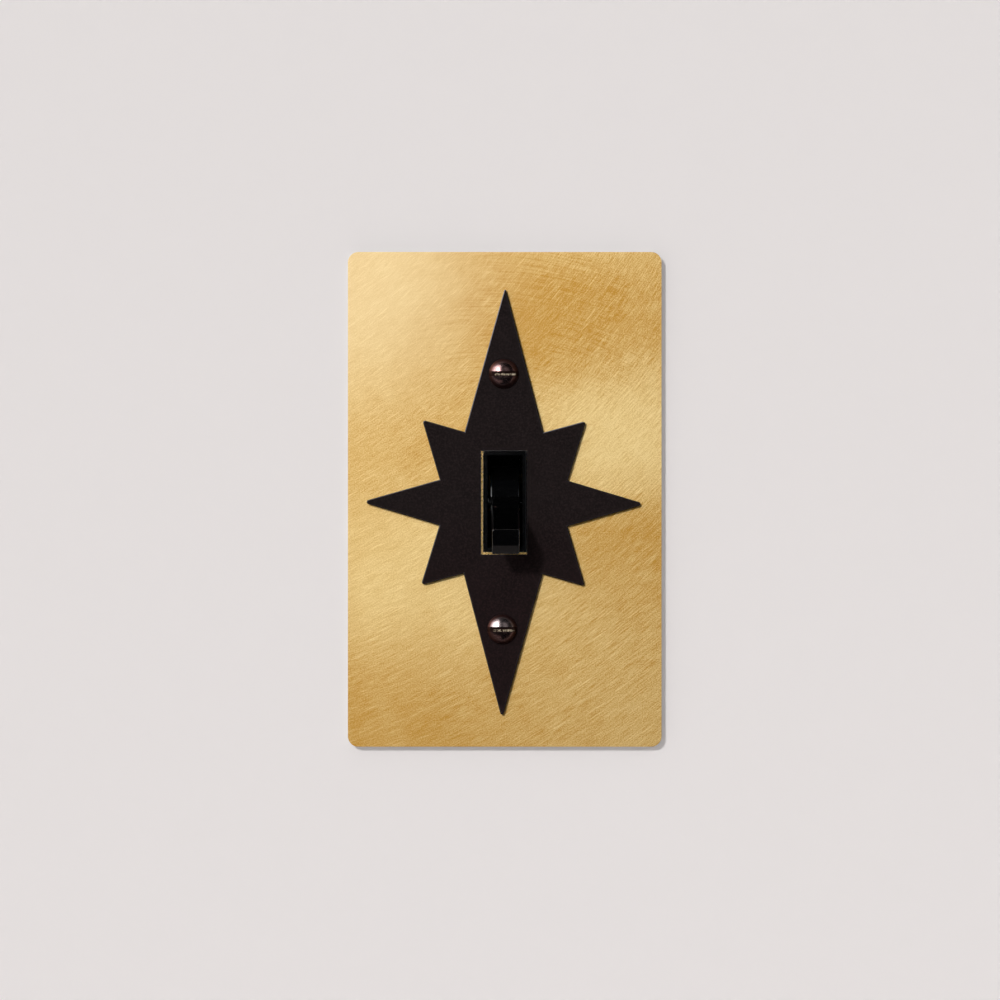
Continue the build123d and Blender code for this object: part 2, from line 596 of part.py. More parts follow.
def toggle_bumpers():
    """Rubber wedges that stop the toggle's tail quietly at each end of its throw."""
    half_width, inner = 2.8, 4.0
    tail_depth = (PIVOT_DEPTH, PIVOT_DEPTH + TAIL_END + 2)
    tail_side = block((-3, 3), tail_depth, (-TAIL_HALF_HEIGHT - 9, TAIL_HALF_HEIGHT + 0.03))
    pad = block((-half_width, half_width), BUMPER_DEPTH, (inner, BUMPER_OUTER)) - tilted(tail_side)
    pad -= cross_rod(DRUM_RADIUS + CLEAR, PIVOT_DEPTH, 0, -4, 4)
    return [pad, mirror(pad, about=Plane.XY)]


# ---- the contacts -----------------------------------------------------------------------------------


def rocker_at_stop(shape):
    """Turns a shape drawn with the rocker level to where it rests when the toggle is down."""
    return shape.rotate(ROCKER_PIVOT, -ROCKER_TILT)


ROCKER_FRONT = ROCKER_PIVOT_DEPTH - ROCKER_FACE
ROCKER_BACK = ROCKER_FRONT + ROCKER_THICKNESS


def contact_rocker():
    """A brass plate that tips on its pin, with a folded ear on each side."""
    plate = block(
        (-ROCKER_HALF_WIDTH, ROCKER_HALF_WIDTH),
        (ROCKER_FRONT, ROCKER_BACK),
        (-ROCKER_HALF_HEIGHT, ROCKER_HALF_HEIGHT),
    )
    plate = fillet(plate.edges().filter_by(Axis.Y), 1.0)
    rocker = plate - rod(CONTACT_SHANK, 0, -CONTACT_REACH, ROCKER_BACK, ROCKER_FRONT)
    ear_radius = 1.9
    for side in LEFT_RIGHT:
        x = sorted((side * (ROCKER_HALF_WIDTH - 0.1), side * (ROCKER_HALF_WIDTH + 0.8)))
        rocker += block(x, (ROCKER_FRONT, ROCKER_PIVOT_DEPTH), (-ear_radius, ear_radius))
        rocker += cross_rod(ear_radius, ROCKER_PIVOT_DEPTH, 0, *x)
    rocker -= cross_rod(ROCKER_PIN_RADIUS + PIN_PLAY, ROCKER_PIVOT_DEPTH, 0, -5, 5)
    return rocker_at_stop(rocker)


BUTTON_RIM = 0.5
BUTTON_CROWN = 0.5
CONTACT_TAIL_HEIGHT = 0.35  # how far a contact's headed tail stands out of its sheet


def moving_contact():
    """A silver rivet through the rocker's lower arm, crowned at the back."""
    crown = (CONTACT_RADIUS**2 + BUTTON_CROWN**2) / (2 * BUTTON_CROWN)
    tip = ROCKER_BACK + BUTTON_RIM + BUTTON_CROWN
    button = rod(CONTACT_RADIUS, 0, 0, tip, ROCKER_BACK)
    button &= Pos(0, tip - crown, 0) * Sphere(crown)
    contact = button + rod(CONTACT_SHANK, 0, 0, ROCKER_BACK + 0.2, ROCKER_FRONT)
    contact += rod(CONTACT_TAIL, 0, 0, ROCKER_FRONT, ROCKER_FRONT - CONTACT_TAIL_HEIGHT)
    return rocker_at_stop(Pos(0, 0, -CONTACT_REACH) * contact)


def closed_contact_depth():
    """How deep the moving contact's crown reaches when the toggle is up, and at what height."""
    crown = (CONTACT_RADIUS**2 + BUTTON_CROWN**2) / (2 * BUTTON_CROWN)
    centre = -ROCKER_FACE + ROCKER_THICKNESS + BUTTON_RIM + BUTTON_CROWN - crown
    tilt = radians(ROCKER_TILT)
    depth = ROCKER_PIVOT_DEPTH + centre * cos(tilt) + CONTACT_REACH * sin(tilt) + crown
    height = centre * sin(tilt) - CONTACT_REACH * cos(tilt)
    return depth, height


CLOSED_DEPTH, CLOSED_Z = closed_contact_depth()
FIXED_FACE = CLOSED_DEPTH + 0.03
FIXED_THICKNESS = 0.9

LINE_LEG_DEPTH = (17.2, 17.2 + SHEET)
LINE_LEG_Z = (3.6, 6.4)
LOAD_LEG_DEPTH = (FIXED_FACE + FIXED_THICKNESS, FIXED_FACE + FIXED_THICKNESS + SHEET)
LOAD_LEG_Z = (CLOSED_Z - 1.9, CLOSED_Z + 1.9)
TERMINAL_PLATE_Z = (7.1, 18.7)
TERMINAL_PLATE_DEPTH = 8.9
LEG_END_X = 10.4  # where a terminal's leg meets its bend


def side_terminal(leg_depth, side):
    """The tapped plate behind a side screw, bent from the back edge of its leg."""
    near, far = TERMINAL_PLATE_Z
    bend_top = near + 2.6
    plate_depth = (TERMINAL_PLATE_DEPTH, leg_depth[1])
    plate = block((TERMINAL_FACE - SHEET, TERMINAL_FACE), plate_depth, sorted((side * near, side * far)))
    foot_z = sorted((side * LINE_LEG_Z[0], side * bend_top))
    foot = block((CHAMBER_OUTER + 0.3, LEG_END_X), leg_depth, foot_z)
    bend_z = sorted((side * near, side * bend_top))
    bend = block((LEG_END_X - 0.4, TERMINAL_FACE), leg_depth, bend_z)
    hole_z = side * TERMINAL_SCREW_Z
    x = (TERMINAL_FACE - SHEET - 1, TERMINAL_FACE + 1)
    return plate + foot + bend - cross_rod(TERMINAL_SCREW_RADIUS, TERMINAL_SCREW_DEPTH, hole_z, *x)


def line_terminal():
    """Brass stamping: the upper side terminal, its leg and the yoke that carries the rocker's pin."""
    ear_inner, ear_outer, ear_radius = 3.8, 4.8, 2.2
    terminal = side_terminal(LINE_LEG_DEPTH, 1)
    terminal += block((-ear_outer, LEG_END_X), LINE_LEG_DEPTH, LINE_LEG_Z)
    terminal += block((-ear_outer, ear_outer), LINE_LEG_DEPTH, (-ear_radius, LINE_LEG_Z[1]))
    for side in LEFT_RIGHT:
        x = sorted((side * ear_inner, side * ear_outer))
        terminal += block(x, (ROCKER_PIVOT_DEPTH, LINE_LEG_DEPTH[1]), (-ear_radius, ear_radius))
        terminal += cross_rod(ear_radius, ROCKER_PIVOT_DEPTH, 0, *x)
    return terminal - cross_rod(ROCKER_PIN_RADIUS, ROCKER_PIVOT_DEPTH, 0, -6, 6)


def rocker_pin():
    """Steel pin, staked in the yoke's ears."""
    pin = cross_rod(ROCKER_PIN_RADIUS, ROCKER_PIVOT_DEPTH, 0, -5.1, 5.1)
    return chamfer(pin.edges().filter_by(GeomType.CIRCLE), 0.15)


def load_terminal():
    """Brass stamping: the lower side terminal, with a leg that carries the fixed contact."""
    terminal = side_terminal(LOAD_LEG_DEPTH, -1)
    terminal += block((-2.6, LEG_END_X), LOAD_LEG_DEPTH, LOAD_LEG_Z)
    return terminal - rod(CONTACT_SHANK, 0, CLOSED_Z, *reversed(LOAD_LEG_DEPTH))


def fixed_contact():
    """Silver rivet in the load terminal."""
    leg_front, leg_back = LOAD_LEG_DEPTH
    contact = rod(CONTACT_RADIUS + 0.2, 0, CLOSED_Z, leg_front, FIXED_FACE)
    contact = fillet(front_edges(contact), 0.2)
    contact += rod(CONTACT_SHANK, 0, CLOSED_Z, leg_back, leg_front - 0.2)
    return contact + rod(CONTACT_TAIL, 0, CLOSED_Z, leg_back + CONTACT_TAIL_HEIGHT, leg_back)


def side_screw(length, head_height=2.2):
    """A binding-head screw lying along +X, with the underside of its head at the origin."""
    slot_depth, slot_half_width = 1.1, 0.55
    head = cross_rod(TERMINAL_HEAD_RADIUS, 0, 0, 0, head_height)
    head = fillet(head.faces().sort_by(Axis.X)[-1].edges(), 0.8)
    slot = (head_height - slot_depth, head_height + 1)
    head -= block(slot, (-slot_half_width, slot_half_width), (-TERMINAL_HEAD_RADIUS, TERMINAL_HEAD_RADIUS))
    shank = cross_rod(TERMINAL_SCREW_RADIUS - THREAD_PLAY, 0, 0, -length, 0)
    return head + chamfer(shank.faces().sort_by(Axis.X)[0].edges(), 0.4)


def terminal_screw(side):
    """A brass side screw, backed out as supplied, ready for a wire."""
    backed_out, length, slot_turn = 0.6, 4.0, 35
    place = Pos(TERMINAL_FACE + backed_out, TERMINAL_SCREW_DEPTH, side * TERMINAL_SCREW_Z)
    return place * Rot(slot_turn * side, 0, 0) * side_screw(length)


def ground_screw():
    """The green grounding screw in the strap's lug."""
    backed_out, length, slot_turn = 0.4, 1.9, -25
    place = Pos(GROUND_TAB_X - backed_out, GROUND_SCREW_DEPTH, GROUND_SCREW_Z)
    return place * Rot(0, 0, 180) * Rot(slot_turn, 0, 0) * side_screw(length)


def push_in_springs():
    """Stainless leaves that grip a bared wire pushed in through a wire hole."""
    foot_x, blade_x = LEAF_RIB_X + 0.02, 10.7
    front, back, bend, tip = 9.6, 19.4, 17.6, 13.4
    thickness = 0.3
    outline = Polyline(
        (foot_x, front),
        (foot_x, back),
        (foot_x + thickness, back),
        (blade_x, tip),
        (blade_x - thickness, tip),
        (foot_x + thickness, bend),
        (foot_x + thickness, front),
        close=True,
    )
    half_height = 1.9
    leaf = extrude(Plane.XY.offset(WIRE_HOLE_Z - half_height) * make_face(outline), amount=2 * half_height)
    return [leaf, mirror(leaf, about=Plane.XY)]


# ---- export -----------------------------------------------------------------------------------------

PARTS = {
    "wall_plate": wall_plate,
    "star_overlay": star_overlay,
    "plate_screws": plate_screws,
    "mounting_strap": mounting_strap,
    "box_screws": box_screws,
    "screw_retainers": screw_retainers,
    "assembly_rivets": assembly_rivets,
    "front_housing": front_housing,
    "rear_housing": rear_housing,
    "toggle_lever": toggle_lever,
    "spring_plunger": spring_plunger,
    "toggle_spring": toggle_spring,
    "toggle_bumpers": toggle_bumpers,
    "contact_rocker": contact_rocker,
    "moving_contact": moving_contact,
    "rocker_pin": rocker_pin,
    "line_terminal": line_terminal,
    "load_terminal": load_terminal,
    "fixed_contact": fixed_contact,
    "line_terminal_screw": lambda: terminal_screw(1),
    "load_terminal_screw": lambda: terminal_screw(-1),
    "ground_screw": ground_screw,
    "push_in_springs": push_in_springs,
}


def solids_of(made):
    """Every solid in a shape or a list of shapes, as one compound."""
    shapes = made if isinstance(made, list) else [made]
    return Compound(children=[solid for shape in shapes for solid in shape.solids()])


if __name__ == "__main__":
    os.makedirs("parts", exist_ok=True)
    for name, make in PARTS.items():
        export_step(solids_of(make()), f"parts/{name}.step")
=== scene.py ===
"""Looks for the toggle wall switch: materials, screw threads, studio and camera around the CAD frame.

Metres. +Z is up and the switch faces -Y. The origin is on the wall plane, behind the toggle's collar.
"""

import math

import bmesh
import bpy
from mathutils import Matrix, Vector


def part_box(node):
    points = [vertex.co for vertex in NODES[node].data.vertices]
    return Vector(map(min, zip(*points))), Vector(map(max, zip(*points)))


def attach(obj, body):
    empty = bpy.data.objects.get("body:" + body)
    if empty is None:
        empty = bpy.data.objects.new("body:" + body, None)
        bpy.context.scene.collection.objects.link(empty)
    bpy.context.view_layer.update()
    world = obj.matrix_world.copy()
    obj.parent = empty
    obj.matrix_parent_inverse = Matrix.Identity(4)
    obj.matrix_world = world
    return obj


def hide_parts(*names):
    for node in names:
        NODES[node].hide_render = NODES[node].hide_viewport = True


MM = 0.001
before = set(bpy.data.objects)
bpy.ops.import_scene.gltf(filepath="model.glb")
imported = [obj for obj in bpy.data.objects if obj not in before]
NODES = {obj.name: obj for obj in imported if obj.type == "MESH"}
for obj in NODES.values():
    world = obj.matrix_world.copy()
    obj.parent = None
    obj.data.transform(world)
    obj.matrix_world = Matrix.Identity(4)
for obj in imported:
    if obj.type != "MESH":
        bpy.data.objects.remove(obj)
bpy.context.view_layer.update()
PLATE_LOW, PLATE_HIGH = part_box("wall_plate")
PLATE_CENTRE = (PLATE_LOW + PLATE_HIGH) / 2
PLATE_WIDTH = PLATE_HIGH.x - PLATE_LOW.x
PLATE_HEIGHT = PLATE_HIGH.z - PLATE_LOW.z


# ---- material graphs ------------------------------------------------------------------------------


class Graph:
    """A material's node tree, built by calls that take and return sockets or plain values."""

    def __init__(self, name):
        self.material = bpy.data.materials.new(name)
        self.material.use_nodes = True
        self.tree = self.material.node_tree
        self.shader = self.tree.nodes["Principled BSDF"]
        self.place = self.node("TexCoord").outputs["Object"]

    def put(self, socket, value):
        if isinstance(value, bpy.types.NodeSocket):
            self.tree.links.new(value, socket)
        elif socket.type == "RGBA":
            socket.default_value = colour(value)
        else:
            socket.default_value = value

    def node(self, kind, inputs=None, **settings):
        made = self.tree.nodes.new("ShaderNode" + kind)
        for key, value in settings.items():
            setattr(made, key, value)
        for key, value in (inputs or {}).items():
            self.put(made.inputs[key], value)
        return made

    def math(self, operation, a, b=0.0, clamp=False):
        return self.node("Math", {0: a, 1: b}, operation=operation, use_clamp=clamp).outputs[0]

    def span(self, value, low, high, to_low=0.0, to_high=1.0):
        """Maps value from low..high to to_low..to_high, held at the ends."""
        inputs = {"Value": value, 1: low, 2: high, 3: to_low, 4: to_high}
        return self.node("MapRange", inputs).outputs[0]

    def mix(self, factor, a, b, blend="MIX"):
        made = self.node("Mix", {0: factor, 6: colour(a), 7: colour(b)}, data_type="RGBA", blend_type=blend)
        return made.outputs[2]

    def noise(self, size, detail=3.0, rough=0.5, vector=None, warp=0.0):
        """Noise whose features are about size metres across."""
        inputs = {
            "Vector": self.place if vector is None else vector,
            "Scale": 1.0 / size,
            "Detail": detail,
            "Roughness": rough,
            "Distortion": warp,
        }
        return self.node("TexNoise", inputs).outputs["Fac"]

    def stretched(self, x, y, z):
        """Object coordinates scaled along each axis, for streaks."""
        return self.node("Mapping", {"Vector": self.place, "Scale": (x, y, z)}).outputs[0]

    def axes(self, vector=None):
        return self.node("SeparateXYZ", {0: self.place if vector is None else vector}).outputs

    def facing(self):
        """The direction that the surface faces, without bump."""
        return self.node("NewGeometry").outputs["Normal"]

    def dot(self, a, b):
        return self.node("VectorMath", {0: a, 1: b}, operation="DOT_PRODUCT").outputs["Value"]

    def edges(self, radius):
        """1 along convex and concave edges sharper than radius, 0 on open faces."""
        rounded = self.node("Bevel", {"Radius": radius}, samples=6).outputs[0]
        return self.span(self.dot(rounded, self.facing()), 0.995, 0.86)

    def bump(self, height, depth, strength=1.0, onto=None):
        inputs = {"Height": height, "Distance": depth, "Strength": strength}
        if onto is not None:
            inputs["Normal"] = onto
        return self.node("Bump", inputs).outputs[0]

    def finish(self, **inputs):
        """Sets the shader's inputs: base_color sets Base Color, and so on. Returns the material."""
        sockets = {socket.name.lower().replace(" ", "_"): socket for socket in self.shader.inputs}
        for key, value in inputs.items():
            self.put(sockets[key], value)
        return self.material


def colour(value):
    """A colour socket's value from a socket or from three linear numbers."""
    if isinstance(value, bpy.types.NodeSocket):
        return value
    return (*value[:3], 1.0)


def strokes(g, centre, width, length, seed, detail=2.0, waver=0.0):
    """Scratches of a given width and length, lying along circles round a far centre."""
    axes = g.axes()
    x = g.math("SUBTRACT", axes["X"], centre[0])
    z = g.math("SUBTRACT", axes["Z"], centre[1])
    across = g.math("SQRT", g.math("ADD", g.math("MULTIPLY", x, x), g.math("MULTIPLY", z, z)))
    if waver:
        across = g.math("ADD", across, g.span(g.noise(9 * MM, 1.0), 0.0, 1.0, -waver, waver))
    along = g.math("MULTIPLY", g.math("ARCTAN2", z, x), math.hypot(*centre))
    inputs = {
        0: g.math("MULTIPLY", across, 1.0 / width),
        1: g.math("MULTIPLY", along, 1.0 / length),
        2: seed,
    }
    lie = g.node("CombineXYZ", inputs).outputs[0]
    inputs = {"Vector": lie, "Scale": 1.0, "Detail": detail, "Roughness": 0.6}
    return g.node("TexNoise", inputs).outputs["Fac"]


def glow(g, share_x, share_z, reach_x, reach_z):
    """1 at a place on the plate, easing to 0. Places and reaches are shares of the plate's half-sizes."""
    half_x, half_z = PLATE_WIDTH / 2, PLATE_HEIGHT / 2
    place = (PLATE_CENTRE.x + share_x * half_x, 0.0, PLATE_CENTRE.z + share_z * half_z)
    offset = g.node("VectorMath", {0: g.place, 1: place}, operation="SUBTRACT").outputs[0]
    spread = (1 / (reach_x * half_x), 0.0, 1 / (reach_z * half_z))
    scaled = g.node("VectorMath", {0: offset, 1: spread}, operation="MULTIPLY").outputs[0]
    distance = g.node("VectorMath", {0: scaled}, operation="LENGTH").outputs["Value"]
    inputs = {"Value": distance, 1: 0.0, 2: 1.7, 3: 1.0, 4: 0.0}
    return g.node("MapRange", inputs, interpolation_type="SMOOTHERSTEP").outputs[0]


# ---- materials ------------------------------------------------------------------------------------


BRUSH_CENTRE = (PLATE_CENTRE.x - 120 * MM, PLATE_CENTRE.z + 155 * MM)
SECOND_CENTRE = (PLATE_CENTRE.x - 80 * MM, PLATE_CENTRE.z + 160 * MM)
CROSS_CENTRE = (PLATE_CENTRE.x - 5 * MM, PLATE_CENTRE.z - 35 * MM)
PAINTED_PLATE_LIGHT = (  # painted highlights and painted shade in the brass's colour: share of half-width and half-height, reach in the same shares, strength
    (-1.00, 0.85, 0.70, 0.58, 0.36),
    (-0.45, -0.28, 0.88, 0.38, 0.44),
    (0.30, 0.72, 0.55, 0.24, -0.16),
    (0.80, 1.05, 0.70, 0.16, 0.16),
    (0.85, 0.27, 0.82, 0.27, 0.53),
    (0.75, -0.16, 0.60, 0.14, -0.10),
    (0.70, -0.75, 0.90, 0.40, 0.14),
    (-0.60, -1.00, 0.80, 0.25, -0.10),
)


def front_leaning(g):
    """The surface's direction, turned to the front on the rounded front edges so they match the face."""
    true = g.facing()
    forward = g.math("MULTIPLY", g.axes(true)["Y"], -1.0)
    turned = g.span(forward, 0.02, 0.25)
    made = g.node("Mix", {0: turned, 4: true, 5: (0.0, -1.0, 0.0)}, data_type="VECTOR")
    return made.outputs[1]


def inside_window(g):
    """1 on the brass that shows between the overlay's window and the collar, which is painted bright as a
    painted highlight.
    """
    axes = g.axes()
    across = g.span(g.math("ABSOLUTE", axes["X"]), 8.0 * MM, 7.5 * MM)
    return g.math("MULTIPLY", across, g.span(g.math("ABSOLUTE", axes["Z"]), 14.5 * MM, 14.0 * MM))


def brush_marks(g):
    """The plate's marks: short scratches, strokes that cross them, bright hairs, and broad faint bands."""
    grain = strokes(g, BRUSH_CENTRE, 0.25 * MM, 3.5 * MM, 1.0, waver=0.35 * MM)
    hairs = strokes(g, BRUSH_CENTRE, 0.20 * MM, 8 * MM, 5.0, 1.0, waver=0.5 * MM)
    stray = strokes(g, SECOND_CENTRE, 0.20 * MM, 6 * MM, 7.0, 1.0)
    bands = strokes(g, BRUSH_CENTRE, 1.1 * MM, 14 * MM, 3.0)
    cross = strokes(g, CROSS_CENTRE, 0.40 * MM, 4 * MM, 9.0, waver=0.3 * MM)
    patch = g.span(g.noise(9 * MM, 2.0), 0.35, 0.65, 0.7, 1.3)
    crossed = g.math("MULTIPLY", glow(g, 0.30, 0.70, 0.85, 0.40), g.span(g.noise(10 * MM), 0.35, 0.6))
    scratch = g.math("MULTIPLY", g.span(grain, 0.25, 0.75, -0.5, 0.5), patch)
    cross = g.math("MULTIPLY", g.span(cross, 0.30, 0.62, -0.45, 0.3), crossed)
    bright = g.math("ADD", g.span(hairs, 0.60, 0.74), g.span(stray, 0.63, 0.76), clamp=True)
    return scratch, cross, bright, g.span(bands, 0.3, 0.7, -0.06, 0.06)


def plate_tone(g, scratch, cross, bright, bands):
    """How pale the brass is, 0 to 1: broad painted highlights and painted shade with the marks over them,
    stronger to the right.
    """
    rightward = g.span(g.axes()["X"], -PLATE_WIDTH / 2, PLATE_WIDTH / 2)
    calm = g.span(glow(g, -0.35, 0.90, 0.80, 0.40), 0.0, 1.0, 1.0, 0.45)
    fine = g.math("MULTIPLY", g.span(rightward, 0.0, 1.0, 0.26, 0.36), calm)
    coarse = g.math("MULTIPLY", g.span(rightward, 0.0, 1.0, 0.30, 0.68), calm)
    tooth = g.span(g.noise(0.30 * MM, 1.0, 0.6), 0.25, 0.75, -1.0, 1.0)
    tone = g.span(g.noise(16 * MM, 3.0, 0.55, warp=0.6), 0.3, 0.7, 0.22, 0.36)
    # painted highlights and painted shade: each glow at its place lightens or darkens the brass
    weighted = [(glow(g, *place_and_reach), strength) for *place_and_reach, strength in PAINTED_PLATE_LIGHT]
    weighted += [(bands, 1.0), (scratch, coarse), (cross, 0.50), (tooth, fine), (bright, 0.34)]
    for layer, strength in weighted:
        tone = g.math("ADD", tone, g.math("MULTIPLY", layer, strength))
    return tone


def brushed_brass():
    """The plate: satin brass, brushed by hand in long sweeping arcs, with broad painted highlights and
    painted shade in its colour, and painted light on its edges and in the gap by the collar.
    """
    g = Graph("brushed_brass")
    marks = brush_marks(g)
    scratch, bright = marks[0], marks[2]
    # painted highlight: the brass in the gap round the collar gets bright gold, less metal and less
    # roughness, standing in for light
    painted_lit_gap = inside_window(g)
    base = g.mix(plate_tone(g, *marks), (0.492, 0.250, 0.036), (0.840, 0.648, 0.306))
    # painted light: the brass paler towards the upper left, where the light falls
    painted_light_upper_left = glow(g, -1.0, 0.9, 0.9, 0.5)
    base = g.mix(g.math("MULTIPLY", painted_light_upper_left, 0.35), base, (0.74, 0.60, 0.40))
    # painted edge light: the rounded edges pale towards the upper left, where light falls on them, and deep
    # orange towards the lower right, in shade
    lean = g.math("SUBTRACT", g.axes()["X"], g.axes()["Z"])
    rubbed = g.mix(g.span(lean, -20 * MM, 10 * MM), (1.0, 0.88, 0.60), (0.88, 0.52, 0.13))
    base = g.mix(g.math("MULTIPLY", g.edges(0.35 * MM), 0.8), base, rubbed)
    base = g.mix(painted_lit_gap, base, (1.0, 0.66, 0.24))
    seen_by_wall = g.node("LightPath").outputs["Is Diffuse Ray"]
    base = g.mix(seen_by_wall, base, (0.40, 0.39, 0.38))
    height = g.math("SUBTRACT", scratch, g.math("MULTIPLY", bright, 0.6))
    height = g.math("MULTIPLY", height, g.span(painted_lit_gap, 0.0, 1.0, 1.0, 0.1))
    return g.finish(
        base_color=base,
        metallic=g.span(painted_lit_gap, 0.0, 1.0, 1.0, 0.8),
        roughness=g.math("SUBTRACT", g.span(scratch, -0.5, 0.5, 0.56, 0.44), g.math("MULTIPLY", painted_lit_gap, 0.22)),
        normal=g.bump(height, 0.01 * MM, 0.4, onto=front_leaning(g)),
    )


def star_black():
    """The overlay: near-black with a fine tooth, redder lower down, with a painted highlight on the bevels
    that face the upper left.
    """
    g = Graph("star_black")
    tooth = g.noise(0.45 * MM, 3.0, 0.6)
    mottle = g.noise(6 * MM, 3.0, 0.5)
    edge = g.edges(0.25 * MM)
    base = g.mix(g.span(mottle, 0.3, 0.7), (0.0070, 0.0034, 0.0034), (0.0100, 0.0056, 0.0056))
    base = g.mix(g.span(tooth, 0.42, 0.68), base, (0.018, 0.0112, 0.0112))
    low = g.span(g.axes()["Z"], 0, -25 * MM)
    base = g.mix(low, base, g.mix(1.0, base, (1.0, 0.70, 0.74), "MULTIPLY"))
    base = g.mix(g.math("MULTIPLY", edge, 0.25), base, (0.055, 0.045, 0.040))
    # painted highlight: pale bluish colour on the bevels facing the upper left, stronger higher up
    to_upper_left = g.span(g.dot(g.facing(), (-0.7, 0.0, 0.7)), 0.30, 0.55)
    bevel = g.math("MULTIPLY", to_upper_left, g.span(g.axes()["Z"], 0, 48 * MM, 0.25, 1.0))
    base = g.mix(bevel, base, (0.26, 0.26, 0.31))
    return g.finish(
        base_color=base,
        roughness=g.math("SUBTRACT", g.span(tooth, 0.3, 0.7, 0.52, 0.72), g.math("MULTIPLY", edge, 0.3)),
        specular_ior_level=g.span(edge, 0.0, 1.0, 0.06, 0.7),
        normal=g.bump(tooth, 0.04 * MM, 0.6),
    )


PLATE_SCREW_X = (-0.30 * MM, -0.65 * MM)  # centres of the upper and the lower plate screw


def screw_row(node, centres_x):
    """Half the spacing of two round screws that stand one above the other, and the radius of their heads."""
    low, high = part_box(node)
    radius = (high.x - low.x - abs(centres_x[0] - centres_x[1])) / 2
    return (high.z - low.z) / 2 - radius, radius


class ScrewPlaces:
    """Where a point lies on its plate screw, as sockets measured from that screw's own centre."""

    def __init__(self, g):
        row, self.head_radius = screw_row("plate_screws", PLATE_SCREW_X)
        axes = g.axes()
        centre_z = g.math("MULTIPLY", g.math("SIGN", axes["Z"]), row)
        self.rise = g.math("SUBTRACT", axes["Z"], centre_z)
        self.aside = g.math("SUBTRACT", axes["X"], g.span(axes["Z"], MM, -MM, *PLATE_SCREW_X))
        self.is_lower = g.span(axes["Z"], MM, -MM)
        squares = [g.math("MULTIPLY", part, part) for part in (self.aside, self.rise)]
        self.out = g.math("SQRT", g.math("ADD", *squares))
        self.depth = g.math("SUBTRACT", axes["Y"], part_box("plate_screws")[0].y)


def driver_slot(g, at):
    """1 inside the driver's slot, which is painted dark as shade, and 1 on the flecks of bare metal along its
    floor, worn metal placed where the floor catches the light as a painted highlight.
    """
    within = g.span(g.math("ABSOLUTE", at.rise), 0.60 * MM, 0.54 * MM)
    deep = g.math("MULTIPLY", g.span(at.depth, 0.7 * MM, 1.15 * MM), g.span(at.depth, 2.2 * MM, 2.0 * MM))
    slot = g.math("MULTIPLY", within, deep)
    left, right = -0.62 * at.head_radius, 0.86 * at.head_radius
    fade = 0.3 * MM
    length = g.math("MULTIPLY", g.span(at.aside, left, left + fade), g.span(at.aside, right, right - fade))
    # worn bare metal, and a painted highlight: the flecks lie on the slot's lower wall, where light falls,
    # lower on the lower screw
    worn = g.math("ADD", at.rise, g.math("MULTIPLY", at.is_lower, 0.14 * MM))
    floor = g.math("MULTIPLY", g.span(worn, 0.16 * MM, 0.10 * MM), g.span(worn, -0.42 * MM, -0.36 * MM))
    flecks = g.math("MULTIPLY", floor, g.span(g.noise(0.45 * MM, 3.0, 0.7), 0.45, 0.56))
    return slot, g.math("MULTIPLY", g.math("MULTIPLY", slot, flecks), length)


def oiled_bronze():
    """Plate screws: dark rubbed bronze, worn to bare metal low in the driver's slot, with painted shade black
    round the rim, darker to the right and in the slot, and on the lower screw a painted highlight above and
    painted shade below.
    """
    g = Graph("oiled_bronze")
    at = ScrewPlaces(g)
    slot, bare = driver_slot(g, at)
    # painted shade: the dome black round its rim
    rim = g.span(at.out, 0.68 * at.head_radius, 0.86 * at.head_radius)
    scuff = g.noise(0.9 * MM, 4.0, 0.7, g.stretched(1, 1, 4))
    dark = g.mix(g.span(scuff, 0.35, 0.7), (0.34, 0.19, 0.18), (0.50, 0.33, 0.32))
    # painted highlight: the upper half of the lower screw paler and greyer, where its highlight falls
    rubbed = g.math("MULTIPLY", at.is_lower, g.span(at.rise, -0.3 * MM, 0.5 * MM))
    dark = g.mix(g.math("MULTIPLY", rubbed, 0.6), dark, (0.56, 0.50, 0.50))
    # painted shade: the lower half of the lower screw darker
    oiled = g.math("MULTIPLY", at.is_lower, g.span(at.rise, 0, -0.8 * MM))
    dark = g.mix(g.math("MULTIPLY", oiled, 0.6), dark, (0.16, 0.085, 0.075))
    # painted shade: the right side of each head darker, more on the upper screw
    right_side = g.span(at.aside, -0.5 * MM, 0.8 * MM)
    right_side = g.math("MULTIPLY", right_side, g.span(at.is_lower, 0.0, 1.0, 0.75, 0.35))
    dark = g.mix(right_side, dark, (0.10, 0.052, 0.048))
    dark = g.mix(rim, dark, (0.120, 0.056, 0.050))
    # painted shade: dark inside the driver's slot
    dark = g.mix(slot, dark, (0.050, 0.024, 0.020))
    smooth = g.span(scuff, 0.3, 0.7, 0.23, 0.29)
    return g.finish(
        base_color=g.mix(bare, dark, (0.82, 0.70, 0.50)),
        metallic=g.span(bare, 0.0, 1.0, 1.0, 0.6),
        roughness=g.math("ADD", smooth, g.math("MULTIPLY", g.math("MAXIMUM", rim, slot), 0.2)),
        normal=g.bump(scuff, 0.008 * MM, 0.2, onto=leaning_normal(g, (0.15, 0.0, -0.09))),
    )


def leaning_normal(g, lean):
    """The surface's direction with a small constant lean, as on a dome filed a little off its axis."""
    leaning = g.node("VectorMath", {0: g.facing(), 1: lean}, operation="ADD").outputs[0]
    return g.node("VectorMath", {0: leaning}, operation="NORMALIZE").outputs[0]


